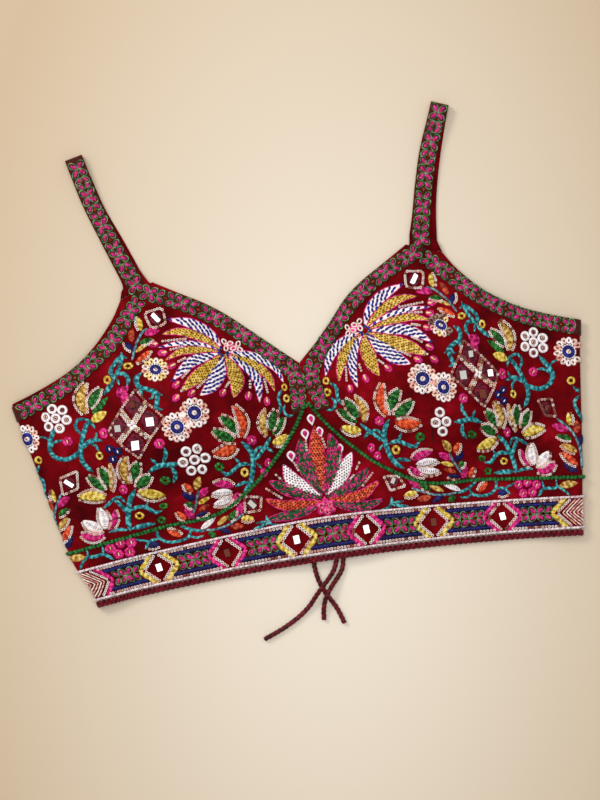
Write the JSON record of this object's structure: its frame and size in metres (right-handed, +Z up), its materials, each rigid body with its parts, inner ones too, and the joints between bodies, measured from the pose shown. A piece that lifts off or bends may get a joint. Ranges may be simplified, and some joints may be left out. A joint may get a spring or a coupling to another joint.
{
  "type": "choli blouse",
  "caption": "Short sleeveless fitted blouse of embroidered velvet with cups, pointed yoke, lace edges, border band, shoulder straps and back ties, lying flat.",
  "frame": {"origin": "on the resting surface, under the middle of the blouse without its ties", "axes": "+X across the blouse from its left to its right as it is seen from above, +Y from the hem towards the straps, +Z up from the surface, with the front facing up"},
  "size_m": [0.4446, 0.3924, 0.0377],
  "materials": {
    "maroon_velvet": "short-pile silk velvet, dark red",
    "flower_lace": "woven tape embroidered with magenta flowers ringed in green",
    "border_embroidery": "dense border embroidery on maroon and navy cloth",
    "maroon_braid": "plaited cotton braid",
    "white_cord": "twisted couched cord",
    "green_cord": "knotted thread line",
    "tie_cord": "limp twisted silk cord",
    "embroidery_thread": "stranded silk in satin and chain stitch, many colours",
    "sequin": "small pearly discs with a hole",
    "mirror": "small square mirrors"
  },
  "bodies": {
    "root": {"cup_left": "maroon_velvet", "cup_right": "maroon_velvet", "yoke": "maroon_velvet", "border_band": "border_embroidery", "hem_braid": "maroon_braid", "piping_upper": "white_cord", "piping_lower": "white_cord", "seam_cord_left": "green_cord", "seam_cord_right": "green_cord", "neck_lace_left": "flower_lace", "neck_lace_right": "flower_lace", "arm_lace_left": "flower_lace", "arm_lace_right": "flower_lace", "strap_left": "maroon_velvet", "strap_right": "maroon_velvet", "strap_lace_left": "flower_lace", "strap_lace_right": "flower_lace", "back_left": "maroon_velvet", "back_right": "maroon_velvet", "tie_left": "tie_cord", "tie_right_long": "tie_cord", "tie_right_short": "tie_cord"}
  },
  "joints": []
}
